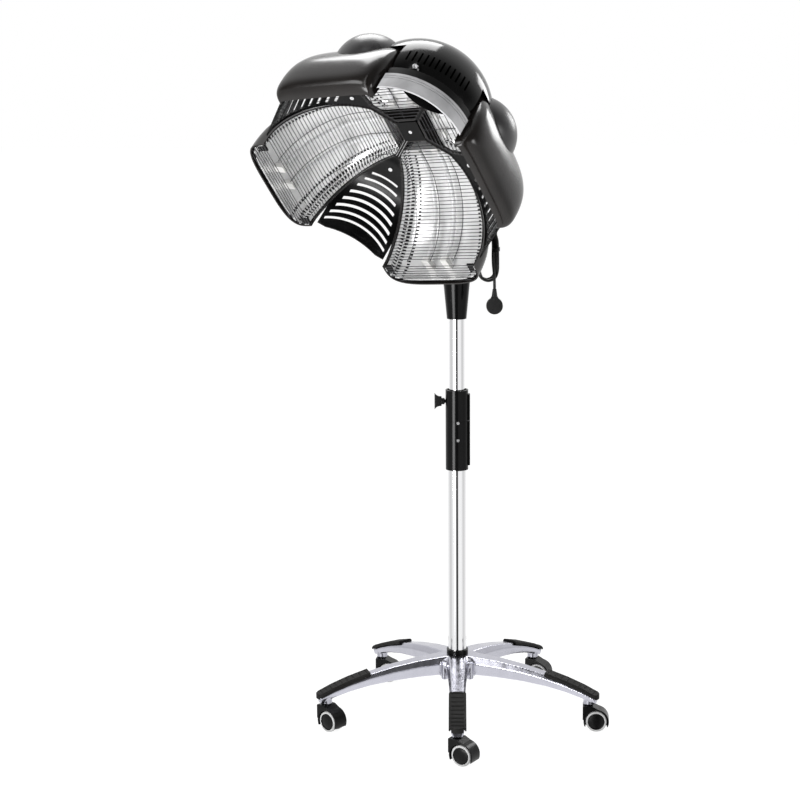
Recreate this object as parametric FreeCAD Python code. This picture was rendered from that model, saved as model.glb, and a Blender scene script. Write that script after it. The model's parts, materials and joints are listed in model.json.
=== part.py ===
import FreeCAD, Part
import math
import os

# Hair color processor: five-legged rolling stand, telescoping pole, swivelling and
# tilting arm, and a hood of four curved infrared lamps round a crown plate.
# Millimetres, +Z up, floor at Z = 0, origin under the pole axis, front leg toward -Y.

V = FreeCAD.Vector
X_AXIS = V(1, 0, 0)
Y_AXIS = V(0, 1, 0)
Z_AXIS = V(0, 0, 1)

# ---- driving dimensions: stand ------------------------------------------------------
LEG_ANGLES = (270.0, 342.0, 54.0, 126.0, 198.0)
STEM_R_POS = 316.0
TIP_R = STEM_R_POS + 24.0
# leg stations from hub to tip: radius, top height, width, depth
LEG_STATIONS = ((30.0, 152.0, 56.0, 44.0), (100.0, 145.5, 46.0, 39.0),
                (STEM_R_POS - 156.0, 136.0, 40.0, 33.0), (STEM_R_POS - 101.0, 123.5, 36.0, 27.0),
                (STEM_R_POS - 54.0, 110.0, 34.0, 23.0), (STEM_R_POS - 14.0, 95.5, 32.0, 20.0),
                (STEM_R_POS + 18.0, 81.0, 30.0, 17.0))
HUB_R = 50.0
HUB_BOTTOM_Z = 104.0
HUB_TOP_Z = 152.0
SOCKET_R = 8.0
SOCKET_OUT = 50.0
PAD_W = 39.0
PAD_T = 6.0
PAD_NOSE = 12.0
PAD_RIBS = 9

# ---- driving dimensions: casters ----------------------------------------------------
WHEEL_R = 24.0
WHEEL_W = 11.0
WHEEL_GAP = 13.0
TRAIL = 17.0
CASTER_HEADINGS = (-30.0, -4.0, -20.0, -8.0, -41.0)
CASTER_TOP_Z = 60.0
STEM_R = 5.0
FENDER_R = 29.0
FENDER_T = 2.5
AXLE_R = 3.0

# ---- driving dimensions: pole -------------------------------------------------------
LOWER_R = 21.0
LOWER_T = 2.0
LOWER_BOTTOM_Z = 112.0
UPPER_R = 18.0
UPPER_T = 2.0
UPPER_BOTTOM_Z = 430.0
UPPER_TOP_Z = 1010.0
SLEEVE_R = 26.0
SLEEVE_TOP_Z = 775.0
SLEEVE_BOTTOM_Z = SLEEVE_TOP_Z - 185.0
LOWER_TOP_Z = SLEEVE_TOP_Z - 81.0
SEAM_Z = LOWER_TOP_Z + 9.0
KNOB_Z = SLEEVE_TOP_Z - 27.0
LUG_INSET = 10.0
CLAMP_SCREW_R = 3.4
CLAMP_SCREW_ZS = (SEAM_Z - 2.0, SEAM_Z - 42.0)
BUSH_R = 22.5
RING_R = 25.0
RING_T = 10.0
BUSH_RECESS = 2.7
RUN_GAP = 0.06
SEAT_GAP = 0.3

# ---- driving dimensions: neck and arm -----------------------------------------------
COLLAR_BOTTOM_Z = 938.0
COLLAR_BOTTOM_R = 22.3
COLLAR_WIDE_Z = 1030.0
COLLAR_WIDE_R = 31.0
COLLAR_TOP_Z = 1062.0
NECK_R = 19.0
SWIVEL = 29.0
TILT = 39.0
ROLL = 40.0
PIVOT_Z = 1414.0
EYE_R = 26.0
EYE_W = 36.0
CHEEK_T = 9.0
PIN_R = 8.0
BOSS_R = 31.0
SPIGOT_R = 17.0
NUT_R = 26.0

# ---- driving dimensions: hood -------------------------------------------------------
CROWN_OUT = 201.0
CROWN_Z = 1364.0
CROWN_HALF_DIAG = 36.0
LAMP_FLAT = 95.0
LAMP_BEND_R = 149.0
LAMP_DEPTH = 60.0
UPPER_DEPTH = 44.0
LOWER_LIP = 8.0
LAMP_START = 27.6
LAMP_START_HW = 23.3
LAMP_KNEE = 72.8
LAMP_KNEE_HW = 68.6
LAMP_WIDE = 238.3
LAMP_WIDE_HW = 119.5
COVER_T = 3.0
COVER_NEAR = 2.0
NOSE_NEAR = 5.0
SECTION_STEPS = 14
SECTION_POWER = 0.55
UPPER_POWER = 0.4
BEND_STEPS = 8
BROW_RISES = ((10.0, 0.97), (24.0, 0.80), (40.0, 0.40))
REFLECTOR_T = 1.0
REFLECTOR_START = 58.0
REFLECTOR_BEHIND = 14.0
REFLECTOR_END = 87.0
HOLDER_FLOOR = 2.6
WIRE_R = 0.8
WIRE_PITCH = 8.0
END_WIRES = 7
TUBE_R = 5.0
TUBE_SPREAD = 24.0
TUBE_DEPTH = 22.0
TUBE_START = 73.0
TUBE_END = 80.0
WEB_START = 38.0
WEB_APEX = 100.0
WEB_SLOPE = 0.529
WEB_FLAT = 120.0
WEB_BEND_R = 137.0
WEB_T = 3.0
WEB_DEPTH = 6.0
SLOT_W = 6.0
WEB_SLOTS = 8
SLOT_FIRST = 22.0
SLOT_LAST = 72.0
SLOT_BOW = 130.0
ARCH_R = 186.0
ARCH_RISE = 11.0
DOME_CENTRE_U = 138.0
DOME_CENTRE_O = 66.0
DOME_R = 154.0
DOME_NEAR_U = 66.0
DOME_BACK = DOME_CENTRE_O - DOME_R + 16.0
DOME_FRONT = 158.0
DOME_T = 3.0
VENT_COUNT = 12
VENT_STEP = 12.0
EAR_R = 81.0
EAR_S = 127.0
EAR_U = 155.0
EAR_O = 50.0
EAR_T = 3.0
EAR_NEAR_U = 74.0
SHELL_GAP = 0.4
BAND_R = DOME_R - 21.0
BAND_CENTRE_U = DOME_CENTRE_U + 41.0
BAND_HALF_S = 94.0
BAND_BACK = 136.0
BAND_FRONT = 176.0
FAN_U = 182.0
FAN_R = 34.0
BOX_U = 128.0
TIMER_S = -18.0
TIMER_SHAFT_R = 3.0
HUB_DISC_R = 60.0
HUB_BACK = 74.0
ROCKER_PIN_R = 1.5
CORD_R = 3.2
HANK_X = 68.0
HANK_Y = -66.0
HANK_Z = 1088.0
HANK_H = 58.0
HANK_W = 20.5
HANK_TURNS = 3
HANK_POINTS = 16
HANK_STEP = 0.46
GLAND_L = 24.0
PLUG_X = 84.0
PLUG_Z = 976.0
PLUG_SLEEVE = 38.0


# ---- helpers ------------------------------------------------------------------------
def export(shape, name):
    if isinstance(shape, (list, tuple)):
        shape = Part.makeCompound(list(shape))
    shape.exportStep("parts/" + name + ".step")


def cyl(radius, height, base, axis=Z_AXIS):
    return Part.makeCylinder(radius, height, base, axis)


def ring(outer, inner, height, base, axis=Z_AXIS):
    return cyl(outer, height, base, axis).cut(cyl(inner, height, base, axis))


def box(x0, x1, y0, y1, z0, z1):
    return Part.makeBox(x1 - x0, y1 - y0, z1 - z0, V(x0, y0, z0))


def fuse(solids):
    whole = solids[0].multiFuse(list(solids[1:]))
    return whole.removeSplitter()


def moved(shape, place):
    copy = shape.copy()
    copy.Placement = place.multiply(copy.Placement)
    return copy


def turned(shape, angle, centre=V(0, 0, 0), axis=Z_AXIS):
    copy = shape.copy()
    copy.rotate(centre, axis, angle)
    return copy


def prism(points, direction):
    wire = Part.makePolygon(list(points) + [points[0]])
    return Part.Face(wire).extrude(direction)


def revolve_profile(points):
    wire = Part.makePolygon([V(r, 0, z) for r, z in points] + [V(points[0][0], 0, points[0][1])])
    return Part.Face(wire).revolve(V(0, 0, 0), Z_AXIS, 360)


def screw_head(radius, height, base, axis):
    head = cyl(radius, height, base, axis)
    return head.cut(cyl(radius * 0.45, height * 0.6, base + axis * (height * 0.5), axis))


# ---- stand --------------------------------------------------------------------------
def leg_section(radius, top_z, width, height):
    half = width / 2.0
    low = width * 0.36
    points = [V(radius, -half, top_z - height * 0.35), V(radius, -half * 0.72, top_z),
              V(radius, half * 0.72, top_z), V(radius, half, top_z - height * 0.35),
              V(radius, low, top_z - height), V(radius, -low, top_z - height)]
    return Part.makePolygon(points + [points[0]])


def make_leg():
    leg = Part.makeLoft([leg_section(*station) for station in LEG_STATIONS], True, True)
    return leg.fuse(cyl(13.0, 20.0, V(STEM_R_POS, 0, CASTER_TOP_Z + 0.5)))


def make_star():
    hub = cyl(HUB_R, HUB_TOP_Z - HUB_BOTTOM_Z - 8.0, V(0, 0, HUB_BOTTOM_Z))
    cone = Part.makeCone(HUB_R, 34.0, 8.0, V(0, 0, HUB_TOP_Z - 8.0))
    solids = [hub, cone]
    leg = make_leg()
    for angle in LEG_ANGLES:
        solids.append(turned(leg, angle))
        side = math.radians(angle + 36.0)
        where = V(SOCKET_OUT * math.cos(side), SOCKET_OUT * math.sin(side), HUB_BOTTOM_Z - 3.0)
        solids.append(cyl(SOCKET_R, 40.0, where))
    star = fuse(solids)
    star = star.cut(cyl(LOWER_R, 80.0, V(0, 0, LOWER_BOTTOM_Z)))
    for angle in LEG_ANGLES:
        a = math.radians(angle)
        socket = V(STEM_R_POS * math.cos(a), STEM_R_POS * math.sin(a), CASTER_TOP_Z - 4.0)
        star = star.cut(cyl(STEM_R, 20.0, socket))
    return star


def pad_section(radius, top, half):
    low = top + 0.25
    points = [V(radius, -half, low - 3.0), V(radius, -half, low + 2.0), V(radius, -half + 4.0, top + PAD_T),
              V(radius, half - 4.0, top + PAD_T), V(radius, half, low + 2.0), V(radius, half, low - 3.0),
              V(radius, half - 3.0, low - 3.0), V(radius, half - 4.2, low),
              V(radius, -half + 4.2, low), V(radius, -half + 3.0, low - 3.0)]
    return Part.makePolygon(points + [points[0]])


def make_pad():
    half = PAD_W / 2.0
    stations = LEG_STATIONS[3:]
    pad = Part.makeLoft([pad_section(r, top, half) for r, top, width, depth in stations], True, True)
    r_tip, top_tip = stations[-1][:2]
    nose = cyl(half, PAD_NOSE, V(TIP_R - half, 0, top_tip + PAD_T - PAD_NOSE))
    nose = nose.common(box(r_tip, TIP_R, -half, half, 0.0, top_tip + PAD_T))
    pad = pad.fuse(nose)
    cuts = []
    for (r0, top0, _, _), (r1, top1, _, _) in zip(stations, stations[1:]):
        count = PAD_RIBS // 3
        for index in range(count):
            share = (index + 0.5) / count
            r = r0 + share * (r1 - r0)
            top = top0 + share * (top1 - top0) + PAD_T
            cuts.append(box(r - 1.5, r + 1.5, -half + 5.0, half - 5.0, top - 1.6, top + 5.0))
    return pad.cut(Part.makeCompound(cuts))


# ---- casters: built with the stem on Z and the wheels trailing toward +X -------------
def make_caster_body():
    centre = V(TRAIL, 0, WHEEL_R)
    half = WHEEL_W + WHEEL_GAP / 2.0 + 1.0
    across = V(0, 2.0 * half, 0)
    nose = prism([V(-14.0, -half, 28.0), V(-14.0, -half, CASTER_TOP_Z), V(9.0, -half, CASTER_TOP_Z),
                  V(TRAIL + 8.0, -half, 51.5), V(TRAIL, -half, WHEEL_R)], across)
    fender = cyl(FENDER_R, 2.0 * half, centre + V(0, -half, 0), Y_AXIS)
    body = nose.fuse(fender).common(box(-60, 60, -40, 40, 12.0, 80.0))
    web_half = WHEEL_GAP / 2.0 - 1.0
    for start in (-half, web_half):
        body = body.cut(cyl(FENDER_R - FENDER_T, half - web_half, centre + V(0, start, 0), Y_AXIS))
    stem = cyl(STEM_R - RUN_GAP, 16.0, V(0, 0, CASTER_TOP_Z - 0.5))
    body = body.fuse(stem).removeSplitter()
    return body.cut(cyl(AXLE_R + RUN_GAP, 60.0, centre + V(0, -30, 0), Y_AXIS))


def make_wheelset():
    centre = V(TRAIL, 0, WHEEL_R)
    solids = []
    for side in (-1, 1):
        inner = side * WHEEL_GAP / 2.0
        start = min(inner, inner + side * WHEEL_W)
        wheel = cyl(WHEEL_R, WHEEL_W, centre + V(0, start, 0), Y_AXIS)
        edges = [e for e in wheel.Edges if e.Length > 100.0 and len(e.Vertexes) == 1]
        wheel = wheel.makeFillet(2.2, edges)
        face = inner + side * WHEEL_W
        dish = ring(18.5, 9.0, 1.6, centre + V(0, face - (1.6 if side > 0 else 0.0), 0), Y_AXIS)
        wheel = wheel.cut(dish)
        solids.append(wheel)
    axle = cyl(AXLE_R, WHEEL_GAP + 4.0, centre + V(0, -WHEEL_GAP / 2.0 - 2.0, 0), Y_AXIS)
    return fuse(solids + [axle])


def caster_place(index):
    a = math.radians(LEG_ANGLES[index])
    spot = V(STEM_R_POS * math.cos(a), STEM_R_POS * math.sin(a), 0)
    return FreeCAD.Placement(spot, FreeCAD.Rotation(Z_AXIS, CASTER_HEADINGS[index]))


# ---- pole ---------------------------------------------------------------------------
def screw_axis():
    return V(0.1, -1, 0).normalize()


def make_sleeve():
    body = ring(SLEEVE_R, LOWER_R, SLEEVE_TOP_Z - SLEEVE_BOTTOM_Z, V(0, 0, SLEEVE_BOTTOM_Z))
    body = body.cut(cyl(BUSH_R, SLEEVE_TOP_Z - LOWER_TOP_Z + 1.0, V(0, 0, LOWER_TOP_Z)))
    lug = box(SLEEVE_R - 3.0, SLEEVE_R + 4.0, -8.0, 8.0, SLEEVE_BOTTOM_Z + LUG_INSET, SLEEVE_TOP_Z - LUG_INSET)
    body = body.fuse(lug)
    seam = ring(SLEEVE_R + 8.0, SLEEVE_R - 1.0, 1.6, V(0, 0, SEAM_Z))
    body = body.cut(seam)
    axis = screw_axis()
    for z in CLAMP_SCREW_ZS:
        body = body.cut(cyl(CLAMP_SCREW_R, 20.0, V(0, 0, z) + axis * (SLEEVE_R - 2.0), axis))
    return body.cut(cyl(4.06, 40.0, V(-50, 0, KNOB_Z), X_AXIS)).removeSplitter()


def make_clamp_screws():
    axis = screw_axis()
    return [screw_head(CLAMP_SCREW_R, 3.0, V(0, 0, z) + axis * (SLEEVE_R - 2.0), axis)
            for z in CLAMP_SCREW_ZS]


def make_knob():
    stem = cyl(4.0, 41.0 - BUSH_R - 0.3, V(-41.0, 0, KNOB_Z), X_AXIS)
    collar = cyl(7.5, 8.0, V(-36.0, 0, KNOB_Z), X_AXIS)
    wing = box(-51.0, -35.0, -4.5, 4.5, KNOB_Z - 20.0, KNOB_Z + 20.0)
    wing = wing.makeFillet(3.0, [e for e in wing.Edges if e.Length > 30.0])
    waist = cyl(14.0, 20.0, V(-38.0, -10.0, KNOB_Z + 25.0), Y_AXIS)
    wing = wing.cut(waist).cut(cyl(14.0, 20.0, V(-38.0, -10.0, KNOB_Z - 25.0), Y_AXIS))
    return fuse([stem, collar, wing])


# ---- neck and arm: built with the hood side toward -Y, then turned by the swivel -----
def neck_frame(shape):
    return turned(shape, -SWIVEL)


def make_collar():
    outside = [(UPPER_R + RUN_GAP, COLLAR_BOTTOM_Z), (COLLAR_BOTTOM_R, COLLAR_BOTTOM_Z),
               (COLLAR_WIDE_R, COLLAR_WIDE_Z), (COLLAR_WIDE_R - 2.0, COLLAR_TOP_Z),
               (NECK_R, COLLAR_TOP_Z), (NECK_R, UPPER_TOP_Z + 12.0),
               (NECK_R - 6.0, UPPER_TOP_Z + 12.0), (NECK_R - 6.0, UPPER_TOP_Z + 0.3),
               (UPPER_R + RUN_GAP, UPPER_TOP_Z + 0.3)]
    return revolve_profile(outside)


def make_neck_tube():
    low = UPPER_TOP_Z + 12.0
    return ring(NECK_R, NECK_R - 2.5, PIVOT_Z - 42.0 - low, V(0, 0, low))


def make_fork():
    gap = EYE_W / 2.0 + 0.3
    wide = gap + CHEEK_T
    base = cyl(NECK_R + 4.0, 26.0, V(0, 0, PIVOT_Z - 62.0))
    bridge = box(-wide, wide, -20.0, 20.0, PIVOT_Z - 42.0, PIVOT_Z - 32.0)
    solids = [base, bridge]
    for side in (-1, 1):
        start = gap if side > 0 else -wide
        solids.append(box(start, start + CHEEK_T, -20.0, 20.0, PIVOT_Z - 34.0, PIVOT_Z))
        solids.append(cyl(20.0, CHEEK_T, V(start, 0, PIVOT_Z), X_AXIS))
    fork = fuse(solids)
    fork = fork.cut(cyl(NECK_R, 20.0, V(0, 0, PIVOT_Z - 62.0)))
    return fork.cut(cyl(PIN_R, 2.0 * wide, V(-wide, 0, PIVOT_Z), X_AXIS))


def hood_axis_local():
    return V(0, -math.cos(math.radians(TILT)), -math.sin(math.radians(TILT)))


def crown_local():
    return V(0, -CROWN_OUT, CROWN_Z)


def make_arm():
    axis = hood_axis_local()
    crown = crown_local()
    back = crown - axis * (HUB_BACK + 45.3)
    eye = cyl(EYE_R, EYE_W, V(-EYE_W / 2.0, 0, PIVOT_Z), X_AXIS)
    boss = cyl(BOSS_R, 45.0, back, axis)
    mid = crown - axis * (HUB_BACK + 26.0)
    run = mid - V(0, 0, PIVOT_Z)
    along = V(run).normalize()
    side = X_AXIS
    up = along.cross(side)
    half_w = EYE_W / 2.0
    start = [V(0, 0, PIVOT_Z) + side * (half_w * i) + up * (21.0 * j)
             for i, j in ((-1, -1), (1, -1), (1, 1), (-1, 1))]
    bar = prism(start, run)
    arm = fuse([eye, boss, bar])
    arm = arm.cut(cyl(SPIGOT_R + RUN_GAP, 130.0, crown - axis * 150.0, axis))
    arm = arm.cut(cyl(NUT_R + 1.0, 60.0, back - axis * 60.0, axis))
    return arm.cut(cyl(PIN_R + RUN_GAP, EYE_W + 2.0, V(-EYE_W / 2.0 - 1.0, 0, PIVOT_Z), X_AXIS))


def make_tilt_pin():
    wide = EYE_W / 2.0 + 0.3 + CHEEK_T
    pin = cyl(PIN_R, 2.0 * wide, V(-wide, 0, PIVOT_Z), X_AXIS)
    caps = [cyl(12.0, 5.0, V(wide, 0, PIVOT_Z), X_AXIS), cyl(12.0, 5.0, V(-wide - 5.0, 0, PIVOT_Z), X_AXIS)]
    return fuse([pin] + caps)


# ---- hood frame: +X and +Y across the opening, +Z out of the opening, crown at origin -
def hood_place():
    a = math.radians(SWIVEL)
    t = math.radians(TILT)
    r = math.radians(ROLL)
    fwd = V(-math.sin(a), -math.cos(a), 0)
    side = V(math.cos(a), -math.sin(a), 0)
    axis = fwd * math.cos(t) - Z_AXIS * math.sin(t)
    lift = Z_AXIS * math.cos(t) + fwd * math.sin(t)
    u = lift * math.cos(r) + side * math.sin(r)
    s = side * math.cos(r) - lift * math.sin(r)
    origin = fwd * CROWN_OUT + Z_AXIS * CROWN_Z
    matrix = FreeCAD.Matrix(s.x, u.x, axis.x, origin.x, s.y, u.y, axis.y, origin.y,
                            s.z, u.z, axis.z, origin.z, 0, 0, 0, 1)
    return FreeCAD.Placement(matrix)


def hood(shape):
    if isinstance(shape, (list, tuple)):
        return [moved(piece, hood_place()) for piece in shape]
    return moved(shape, hood_place())


def arc_at(flat, bend, offset, angle):
    a = math.radians(angle)
    radius = bend + offset
    return V(flat + radius * math.sin(a), 0, bend - radius * math.cos(a))


def slab(start, flat, bend, inner, outer, half_width, lip=0.0):
    edges = []
    first = V(start, -half_width, -inner)
    bend_a = V(flat, -half_width, -inner)
    lift = V(0, -half_width, 0)
    mid_a = arc_at(flat, bend, inner, 45.0) + lift
    end_a = arc_at(flat, bend, inner, 90.0) + lift
    lip_a = end_a + V(0, 0, lip)
    end_b = arc_at(flat, bend, outer, 90.0) + lift
    lip_b = end_b + V(0, 0, lip)
    mid_b = arc_at(flat, bend, outer, 45.0) + lift
    bend_b = V(flat, -half_width, -outer)
    last = V(start, -half_width, -outer)
    edges.append(Part.makeLine(first, bend_a))
    edges.append(Part.Arc(bend_a, mid_a, end_a).toShape())
    if lip > 0:
        edges.append(Part.makeLine(end_a, lip_a))
    edges.append(Part.makeLine(lip_a, lip_b))
    if lip > 0:
        edges.append(Part.makeLine(lip_b, end_b))
    edges.append(Part.Arc(end_b, mid_b, bend_b).toShape())
    edges.append(Part.makeLine(bend_b, last))
    edges.append(Part.makeLine(last, first))
    return Part.Face(Part.Wire(edges)).extrude(V(0, 2.0 * half_width, 0))


def lamp_half_width(r):
    if r < LAMP_KNEE:
        share = (r - LAMP_START) / (LAMP_KNEE - LAMP_START)
        return LAMP_START_HW + share * (LAMP_KNEE_HW - LAMP_START_HW)
    share = min((r - LAMP_KNEE) / (LAMP_WIDE - LAMP_KNEE), 1.0)
    return LAMP_KNEE_HW + share * (LAMP_WIDE_HW - LAMP_KNEE_HW)


def lamp_form(upper):
    """Depth of a lamp's cover and the power that squares its section."""
    return (UPPER_DEPTH, UPPER_POWER) if upper else (LAMP_DEPTH, SECTION_POWER)


def lamp_plan(inset, start=LAMP_START, stop=330.0):
    stations = (start, LAMP_KNEE, LAMP_WIDE, stop)
    right = [V(r, lamp_half_width(r) - inset, -120.0) for r in stations]
    left = [V(r, -lamp_half_width(r) + inset, -120.0) for r in reversed(stations)]
    return prism(right + left, V(0, 0, 400.0))


def lamp_station(angle, rise):
    if rise > 0:
        return V(LAMP_FLAT + LAMP_BEND_R, 0, LAMP_BEND_R + rise), V(1, 0, 0)
    a = math.radians(angle)
    return arc_at(LAMP_FLAT, LAMP_BEND_R, 0.0, angle), V(math.sin(a), 0, -math.cos(a))


def section_points(half, near, depth, power):
    points = []
    for index in range(SECTION_STEPS + 1):
        a = math.pi * index / SECTION_STEPS
        across = half * math.copysign(abs(math.cos(a)) ** power, math.cos(a))
        points.append((across, near + (depth - near) * abs(math.sin(a)) ** power))
    return points


def trough_section(spot, out, inset, near, depth, power):
    half = lamp_half_width(spot.x) - inset
    points = [spot + out * deep + V(0, across, 0) for across, deep in section_points(half, near, depth, power)]
    return Part.makePolygon(points + [points[0]])


def trough(start, inset, near, form, rises=(), last_angle=90.0):
    depth, power = form
    sections = []
    for r in sorted({start, LAMP_KNEE, LAMP_FLAT}):
        sections.append(trough_section(V(r, 0, 0), V(0, 0, -1), inset, near, depth, power))
    for index in range(1, BEND_STEPS + 1):
        spot, out = lamp_station(index * last_angle / BEND_STEPS, 0.0)
        sections.append(trough_section(spot, out, inset, near, depth, power))
    for rise, share in rises:
        spot, out = lamp_station(90.0, rise)
        sections.append(trough_section(spot, out, inset, near, near + (depth - near) * share, power))
    return Part.makeLoft(sections, True, True)


def make_cover(upper):
    depth, power = lamp_form(upper)
    within = (depth - COVER_T, power)
    start = LAMP_START + COVER_T
    if upper:
        outer = trough(LAMP_START, 0.0, COVER_NEAR, (depth, power), BROW_RISES)
        inner = trough(start, COVER_T, -COVER_T, within)
        inner_rises = tuple((rise - COVER_T, share * 0.94) for rise, share in BROW_RISES)
        nose = trough(start, COVER_T, NOSE_NEAR, within, inner_rises)
        return outer.cut(inner).cut(nose)
    outer = trough(LAMP_START, 0.0, COVER_NEAR, (depth, power), ((LOWER_LIP, 1.0),))
    inner = trough(start, COVER_T, -COVER_T, within, ((LOWER_LIP + 20.0, 1.0),))
    return outer.cut(inner)


def make_reflector(upper):
    depth, power = lamp_form(upper)
    back = depth - REFLECTOR_BEHIND
    outer = trough(REFLECTOR_START, COVER_T + 1.5, 8.0, (back, power), (), REFLECTOR_END)
    inner = trough(REFLECTOR_START + REFLECTOR_T, COVER_T + 1.5 + REFLECTOR_T, 4.0,
                   (back - REFLECTOR_T, power), ((20.0, 1.0),), REFLECTOR_END)
    return outer.cut(inner)


def bent_rod(start, offset, side, radius, end_angle=90.0, tail=0.0):
    lift = V(0, side, 0)
    first = V(start, side, -offset)
    knee = V(LAMP_FLAT, side, -offset)
    mid = arc_at(LAMP_FLAT, LAMP_BEND_R, offset, end_angle / 2.0) + lift
    last = arc_at(LAMP_FLAT, LAMP_BEND_R, offset, end_angle) + lift
    edges = [Part.makeLine(first, knee), Part.Arc(knee, mid, last).toShape()]
    if tail > 0:
        edges.append(Part.makeLine(last, last + V(0, 0, tail)))
    circle = Part.Wire([Part.makeCircle(radius, first, X_AXIS)])
    return Part.Wire(edges).makePipeShell([circle], True, False)


def make_guard():
    wires = []
    depth = WIRE_R / 2.0
    flat_count = int((LAMP_FLAT - 34.0) / WIRE_PITCH)
    for index in range(flat_count + 1):
        r = 34.0 + index * WIRE_PITCH
        half = lamp_half_width(r) - 1.0
        wires.append(cyl(WIRE_R, 2.0 * half, V(r, -half, -depth), Y_AXIS))
    step = math.degrees(WIRE_PITCH / LAMP_BEND_R)
    count = int(89.0 / step)
    for index in range(1, count + 1):
        spot = arc_at(LAMP_FLAT, LAMP_BEND_R, depth, index * step)
        half = lamp_half_width(spot.x) - 1.0
        wires.append(cyl(WIRE_R, 2.0 * half, spot + V(0, -half, 0), Y_AXIS))
    behind = depth + 2.0 * WIRE_R + 0.05
    for side in (-60.0, 0.0, 60.0):
        start = 32.0 if side == 0.0 else 74.0
        wires.append(bent_rod(start, behind, side, WIRE_R, 88.0))
    return wires


def mouth_half(deep, upper):
    """Half width of the cover's inner wall at its lower end, at one depth."""
    depth, power = lamp_form(upper)
    near = NOSE_NEAR if upper else -COVER_T
    points = section_points(LAMP_WIDE_HW - COVER_T, near, depth - COVER_T, power)
    for (wide, shallow), (narrow, deeper) in zip(points, points[1:]):
        if shallow <= deep <= deeper:
            return wide + (narrow - wide) * (deep - shallow) / (deeper - shallow)


def make_end_wires():
    wires = []
    for index in range(END_WIRES):
        deep = 5.0 + index * 7.0
        half = mouth_half(deep + WIRE_R, False) - 0.4
        r = LAMP_FLAT + LAMP_BEND_R + deep
        wires.append(cyl(WIRE_R, 2.0 * half, V(r, -half, LAMP_BEND_R + LOWER_LIP - WIRE_R - 0.2), Y_AXIS))
    return wires


def lamp_at(shape, angle):
    if isinstance(shape, (list, tuple)):
        return [turned(piece, angle) for piece in shape]
    return turned(shape, angle)


def make_tubes():
    return [bent_rod(TUBE_START, TUBE_DEPTH, side, TUBE_R, TUBE_END) for side in (-TUBE_SPREAD, TUBE_SPREAD)]


def make_holders(upper):
    floor = lamp_form(upper)[0] - REFLECTOR_BEHIND - HOLDER_FLOOR
    holders = []
    for side in (-TUBE_SPREAD, TUBE_SPREAD):
        block = box(TUBE_START - 11.0, TUBE_START - 0.4, side - 8.0, side + 8.0, 0.2 - floor, -12.0)
        holders.append(block)
        spot = arc_at(LAMP_FLAT, LAMP_BEND_R, TUBE_DEPTH, TUBE_END)
        end = box(-10.0, floor - TUBE_DEPTH, -8.0, 8.0, 0.4, 12.0)
        end = turned(end, 90.0 - TUBE_END, V(0, 0, 0), Y_AXIS)
        end.translate(spot + V(0, side, 0))
        holders.append(end)
    return holders


def make_brackets(upper):
    r0 = LAMP_FLAT + LAMP_BEND_R + 2.2
    outer = mouth_half(24.2, upper) - 0.2
    top = LAMP_BEND_R - 2.1 + (0.0 if upper else LOWER_LIP)
    plate = box(r0, r0 + 22.0, outer - 16.0, outer, top - 3.0, top)
    return [plate, plate.mirror(V(0, 0, 0), Y_AXIS)]


def web_plan(clear, reach):
    half_far = WEB_SLOPE * (253.0 - WEB_APEX) + 3.0 - clear
    stem = 3.0 - clear
    right = [V(WEB_START, stem, -120.0), V(WEB_APEX, stem, -120.0), V(253.0, half_far, -120.0),
             V(reach, half_far, -120.0)]
    left = [V(p.x, -p.y, p.z) for p in reversed(right)]
    return prism(right + left, V(0, 0, 400.0))


def web_cutter(angle, bow):
    spot = arc_at(WEB_FLAT, WEB_BEND_R, WEB_DEPTH, angle)
    half = WEB_SLOPE * (spot.x - WEB_APEX) - 7.0
    if bow > 0:
        cutter = ring(bow + SLOT_W / 2.0, bow - SLOT_W / 2.0, 24.0, V(bow, 0, -12.0))
        cutter = cutter.common(box(-10.0, bow, -half, half, -12.0, 12.0))
    else:
        cutter = box(-SLOT_W / 2.0, SLOT_W / 2.0, -half, half, -8.0, 8.0)
    cutter = turned(cutter, -angle, V(0, 0, 0), Y_AXIS)
    cutter.translate(spot)
    return cutter


def make_web(bow):
    panel = slab(WEB_START, WEB_FLAT, WEB_BEND_R, WEB_DEPTH - WEB_T, WEB_DEPTH, 120.0)
    panel = panel.common(web_plan(0.6, 300.0))
    cuts = []
    for index in range(WEB_SLOTS):
        angle = SLOT_FIRST + (SLOT_LAST - SLOT_FIRST) * index / (WEB_SLOTS - 1)
        cuts.append(web_cutter(angle, bow))
    if bow > 0:
        cuts.append(cyl(ARCH_R, 120.0, V(200.0, 0, WEB_BEND_R - ARCH_RISE + ARCH_R), X_AXIS))
    panel = panel.cut(Part.makeCompound(cuts))
    return sorted(panel.Solids, key=lambda piece: -piece.Volume)[0]


# ---- dome: fan and control housing over the two upper lamps ---------------------------
def web_inside(offset):
    end = arc_at(WEB_FLAT, WEB_BEND_R, offset, 90.0)
    mid = arc_at(WEB_FLAT, WEB_BEND_R, offset, 45.0)
    start = V(0, 0, -offset)
    knee = V(WEB_FLAT, 0, -offset)
    edges = [Part.makeLine(start, knee), Part.Arc(knee, mid, end).toShape(),
             Part.makeLine(end, end + V(0, 0, 150)), Part.makeLine(end + V(0, 0, 150), V(0, 0, end.z + 150)),
             Part.makeLine(V(0, 0, end.z + 150), start)]
    face = Part.Face(Part.Wire(edges))
    face.translate(V(0, -200, 0))
    return turned(face.extrude(V(0, 400, 0)), 90.0)


def lamp_envelope(grow):
    """Room an upper lamp takes, from the space in front of it to its back grown outward."""
    block = slab(4.0, LAMP_FLAT, LAMP_BEND_R, -80.0, UPPER_DEPTH + grow, 160.0, 120.0)
    return block.common(lamp_plan(-abs(grow), 8.0))


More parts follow.
